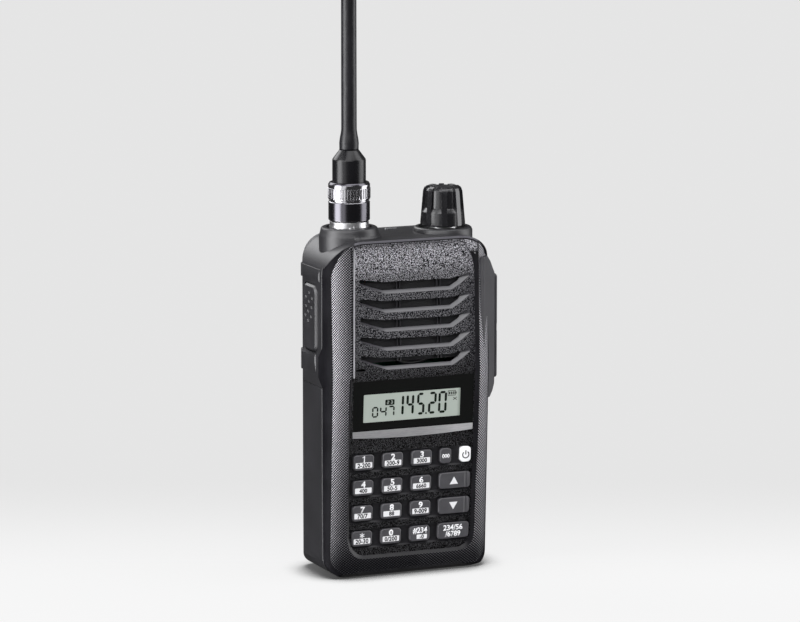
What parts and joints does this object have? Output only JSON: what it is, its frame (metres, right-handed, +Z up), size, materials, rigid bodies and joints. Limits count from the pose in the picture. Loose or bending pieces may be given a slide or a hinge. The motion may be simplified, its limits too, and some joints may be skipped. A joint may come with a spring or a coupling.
{
  "type": "handheld two-way radio",
  "caption": "Handheld two-way radio with slotted speaker front, display, keypad, side push-to-talk pad, volume knob, bayonet whip antenna, jack cover and swing-off battery.",
  "frame": {"origin": "on the standing plane, at the middle of the housing's footprint (antenna, jack housing and guard ridges not counted)", "axes": "+X to the user's right, +Y to the back, -Y the keypad side, +Z up along the antenna"},
  "size_m": [0.0643, 0.0305, 0.285],
  "materials": {
    "case_black": "fine textured moulded",
    "frame_black": "satin moulded",
    "cover_rubber": "satin rubber",
    "window_glass": "polished, black printed border with a clear aperture",
    "trim_silver": "silver paint, satin",
    "lcd_glass": "reflective pale green-grey liquid crystal",
    "white_plastic": "matt",
    "net_black": "woven acoustic net",
    "steel": "satin",
    "cone_dark": "paper cone",
    "membrane_rubber": "matt silicone",
    "board_green": "solder mask",
    "die_cast": "as cast",
    "chrome": "bright nickel plate",
    "ptfe": "white fluoropolymer",
    "brass": "plated",
    "lens_clear": "translucent lens",
    "gloss_black": "polished",
    "ptt_rubber": "satin rubber",
    "knob_black": "satin",
    "whip_rubber": "smooth satin sheath",
    "cell_wrap": "aluminium can in a printed sleeve",
    "key_grey": "satin silicone",
    "key_white": "satin silicone"
  },
  "bodies": {
    "housing": {"front_case": "case_black", "body_frame": "frame_black", "rear_panel": "frame_black", "jack_housing": "frame_black", "display_window": "window_glass", "window_trim": "trim_silver", "lcd_panel": "lcd_glass", "lcd_backlight": "white_plastic", "speaker_net": "net_black", "speaker_frame": "steel", "speaker_cone": "cone_dark", "keypad_membrane": "membrane_rubber", "key_domes": "steel", "logic_board": "board_green", "main_board": "board_green", "shield_cans": "steel", "chassis": "die_cast", "volume_pot": "die_cast", "socket_nuts": "steel", "antenna_jack": "chrome", "jack_insulator": "ptfe", "jack_contact": "brass", "led_lens": "lens_clear", "mic_capsule": "steel", "ptt_switch": "white_plastic", "audio_jacks": "gloss_black", "main_gasket": "membrane_rubber", "battery_contacts": "brass", "case_screws": "steel", "clip_inserts": "brass"},
    "push_to_talk": {"ptt_button": "ptt_rubber"},
    "volume_control": {"volume_knob": "knob_black", "knob_shaft": "steel"},
    "antenna": {"antenna_whip": "whip_rubber", "antenna_ferrule": "gloss_black", "antenna_pin": "brass"},
    "collar": {"coupling_collar": "chrome"},
    "cover": {"jack_cover": "cover_rubber"},
    "battery": {"battery_case": "frame_black", "battery_lid": "white_plastic", "battery_cells": "cell_wrap", "battery_terminals": "brass"},
    "latch": {"battery_latch": "frame_black"},
    "key_1_body": {"key_1": "key_grey"},
    "key_2_body": {"key_2": "key_grey"},
    "key_3_body": {"key_3": "key_grey"},
    "key_4_body": {"key_4": "key_grey"},
    "key_5_body": {"key_5": "key_grey"},
    "key_6_body": {"key_6": "key_grey"},
    "key_7_body": {"key_7": "key_grey"},
    "key_8_body": {"key_8": "key_grey"},
    "key_9_body": {"key_9": "key_grey"},
    "key_0_body": {"key_0": "key_grey"},
    "key_star_body": {"key_star": "key_grey"},
    "key_hash_body": {"key_hash": "key_grey"},
    "key_up_body": {"key_up": "key_grey"},
    "key_down_body": {"key_down": "key_grey"},
    "key_call_body": {"key_call": "key_grey"},
    "key_monitor_body": {"key_monitor": "key_grey"},
    "key_power_body": {"key_power": "key_white"}
  },
  "joints": [
    {"name": "key_1_press", "type": "slide", "parent": "housing", "child": "key_1_body", "axis": [0, 0.9976, 0.0687], "range_m": [0, 0.0006], "stiffness_N_per_m": 900},
    {"name": "key_2_press", "type": "slide", "parent": "housing", "child": "key_2_body", "axis": [0, 0.9976, 0.0687], "range_m": [0, 0.0006], "stiffness_N_per_m": 900},
    {"name": "key_3_press", "type": "slide", "parent": "housing", "child": "key_3_body", "axis": [0, 0.9976, 0.0687], "range_m": [0, 0.0006], "stiffness_N_per_m": 900},
    {"name": "key_4_press", "type": "slide", "parent": "housing", "child": "key_4_body", "axis": [0, 0.9976, 0.0687], "range_m": [0, 0.0006], "stiffness_N_per_m": 900},
    {"name": "key_5_press", "type": "slide", "parent": "housing", "child": "key_5_body", "axis": [0, 0.9976, 0.0687], "range_m": [0, 0.0006], "stiffness_N_per_m": 900},
    {"name": "key_6_press", "type": "slide", "parent": "housing", "child": "key_6_body", "axis": [0, 0.9976, 0.0687], "range_m": [0, 0.0006], "stiffness_N_per_m": 900},
    {"name": "key_7_press", "type": "slide", "parent": "housing", "child": "key_7_body", "axis": [0, 0.9976, 0.0687], "range_m": [0, 0.0006], "stiffness_N_per_m": 900},
    {"name": "key_8_press", "type": "slide", "parent": "housing", "child": "key_8_body", "axis": [0, 0.9976, 0.0687], "range_m": [0, 0.0006], "stiffness_N_per_m": 900},
    {"name": "key_9_press", "type": "slide", "parent": "housing", "child": "key_9_body", "axis": [0, 0.9976, 0.0687], "range_m": [0, 0.0006], "stiffness_N_per_m": 900},
    {"name": "key_0_press", "type": "slide", "parent": "housing", "child": "key_0_body", "axis": [0, 0.9976, 0.0687], "range_m": [0, 0.0006], "stiffness_N_per_m": 900},
    {"name": "key_star_press", "type": "slide", "parent": "housing", "child": "key_star_body", "axis": [0, 0.9976, 0.0687], "range_m": [0, 0.0006], "stiffness_N_per_m": 900},
    {"name": "key_hash_press", "type": "slide", "parent": "housing", "child": "key_hash_body", "axis": [0, 0.9976, 0.0687], "range_m": [0, 0.0006], "stiffness_N_per_m": 900},
    {"name": "key_up_press", "type": "slide", "parent": "housing", "child": "key_up_body", "axis": [0, 0.9976, 0.0687], "range_m": [0, 0.0006], "stiffness_N_per_m": 900},
    {"name": "key_down_press", "type": "slide", "parent": "housing", "child": "key_down_body", "axis": [0, 0.9976, 0.0687], "range_m": [0, 0.0006], "stiffness_N_per_m": 900},
    {"name": "key_call_press", "type": "slide", "parent": "housing", "child": "key_call_body", "axis": [0, 0.9976, 0.0687], "range_m": [0, 0.0006], "stiffness_N_per_m": 900},
    {"name": "key_monitor_press", "type": "slide", "parent": "housing", "child": "key_monitor_body", "axis": [0, 0.9976, 0.0687], "range_m": [0, 0.0006], "stiffness_N_per_m": 900},
    {"name": "key_power_press", "type": "slide", "parent": "housing", "child": "key_power_body", "axis": [0, 0.9976, 0.0687], "range_m": [0, 0.0006], "stiffness_N_per_m": 900},
    {"name": "push_to_talk_press", "type": "slide", "parent": "housing", "child": "push_to_talk", "axis": [1, 0, 0], "range_m": [0, 0.0009], "stiffness_N_per_m": 1400},
    {"name": "volume_turn", "type": "hinge", "parent": "housing", "child": "volume_control", "pos_m": [0.0165, 0, 0.12], "axis": [0, 0, 1], "range_deg": [-150, 150]},
    {"name": "antenna_lift", "type": "slide", "parent": "housing", "child": "antenna", "axis": [0, 0, 1], "range_m": [0, 0.016]},
    {"name": "collar_turn", "type": "hinge", "parent": "antenna", "child": "collar", "pos_m": [-0.0169, 0, 0.1235], "axis": [0, 0, 1], "range_deg": [0, 90]},
    {"name": "jack_cover_swing", "type": "hinge", "parent": "housing", "child": "cover", "pos_m": [0.03345, 0.0057, 0.08], "axis": [0, 0, 1], "range_deg": [0, 100]},
    {"name": "battery_swing", "type": "hinge", "parent": "housing", "child": "battery", "pos_m": [0, 0.0149, 0.0631], "axis": [1, 0, 0], "range_deg": [0, 28]},
    {"name": "latch_slide", "type": "slide", "parent": "battery", "child": "latch", "axis": [0, 1, 0], "range_m": [0, 0.002], "stiffness_N_per_m": 300}
  ]
}
